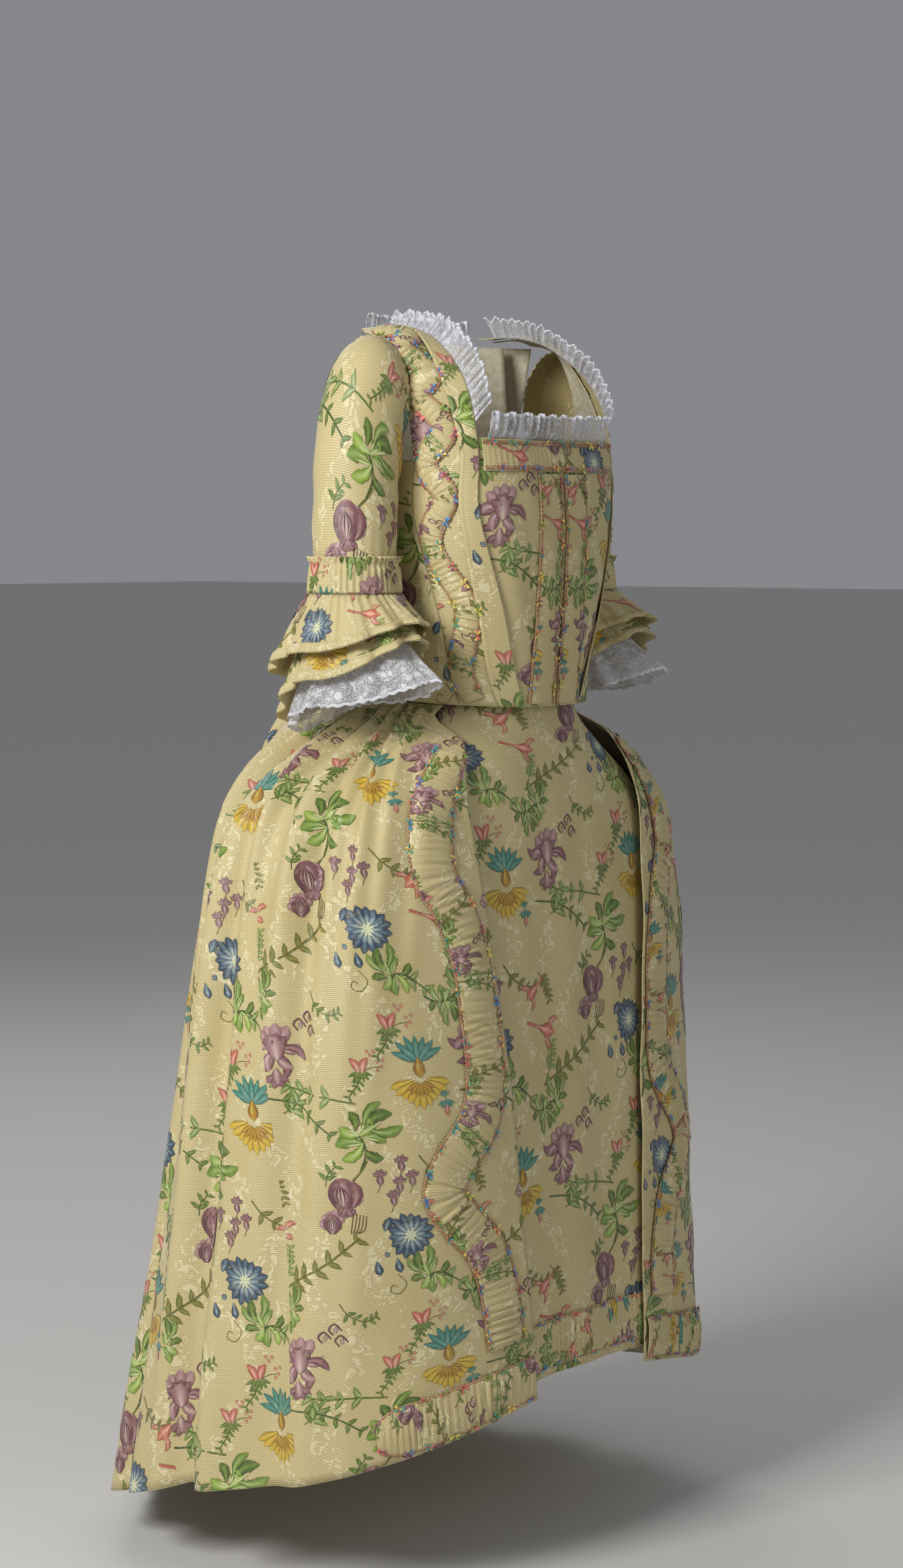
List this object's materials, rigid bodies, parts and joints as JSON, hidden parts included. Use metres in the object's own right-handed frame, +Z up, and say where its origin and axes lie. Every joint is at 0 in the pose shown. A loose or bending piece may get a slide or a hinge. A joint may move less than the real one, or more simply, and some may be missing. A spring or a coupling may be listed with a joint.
{
  "type": "robe a la francaise",
  "caption": "Eighteenth-century open robe with sack back over a petticoat: square lace neckline, elbow sleeves with flounces and lace, winding ruched trims, hollow in its worn pose.",
  "frame": {"origin": "between the wearer's shoulders, at the height of the shoulder seams", "axes": "+Z up, the wearer faces -Y, +X to the wearer's left"},
  "size_m": [0.7318, 0.5762, 1.4025],
  "materials": {
    "brocade": "straw silk brocaded with flowers, soft sheen",
    "brocade_trim": "ruched straw silk brocaded with flowers, edged with gimp",
    "lace": "fine white lace",
    "linen": "matt linen lining"
  },
  "bodies": {
    "root": {"petticoat": "brocade", "petticoat_flounce": "brocade_trim", "robe_skirt_right": "brocade", "robe_skirt_left": "brocade", "sack_back": "brocade", "bodice_back": "linen", "bodice_side_right": "brocade", "bodice_side_left": "brocade", "robing_outer_right": "brocade", "robing_outer_left": "brocade", "robing_inner_right": "brocade", "robing_inner_left": "brocade", "compere_right": "brocade", "compere_left": "brocade", "compere_band": "brocade_trim", "compere_strip_right": "brocade_trim", "compere_strip_left": "brocade_trim", "sleeve_right": "brocade", "sleeve_left": "brocade", "sleeve_heading_right": "brocade", "sleeve_heading_left": "brocade", "flounce_upper_right": "brocade", "flounce_upper_left": "brocade", "flounce_lower_right": "brocade", "flounce_lower_left": "brocade", "lace_cuff_right": "lace", "lace_cuff_left": "lace", "neck_lace_right": "lace", "neck_lace_left": "lace", "neck_lace_front": "lace", "neck_lace_back": "lace", "furbelow_bodice_right": "brocade_trim", "furbelow_bodice_left": "brocade_trim", "furbelow_skirt_right": "brocade_trim", "furbelow_skirt_left": "brocade_trim", "hem_flounce_right": "brocade_trim", "hem_flounce_left": "brocade_trim"}
  },
  "joints": []
}
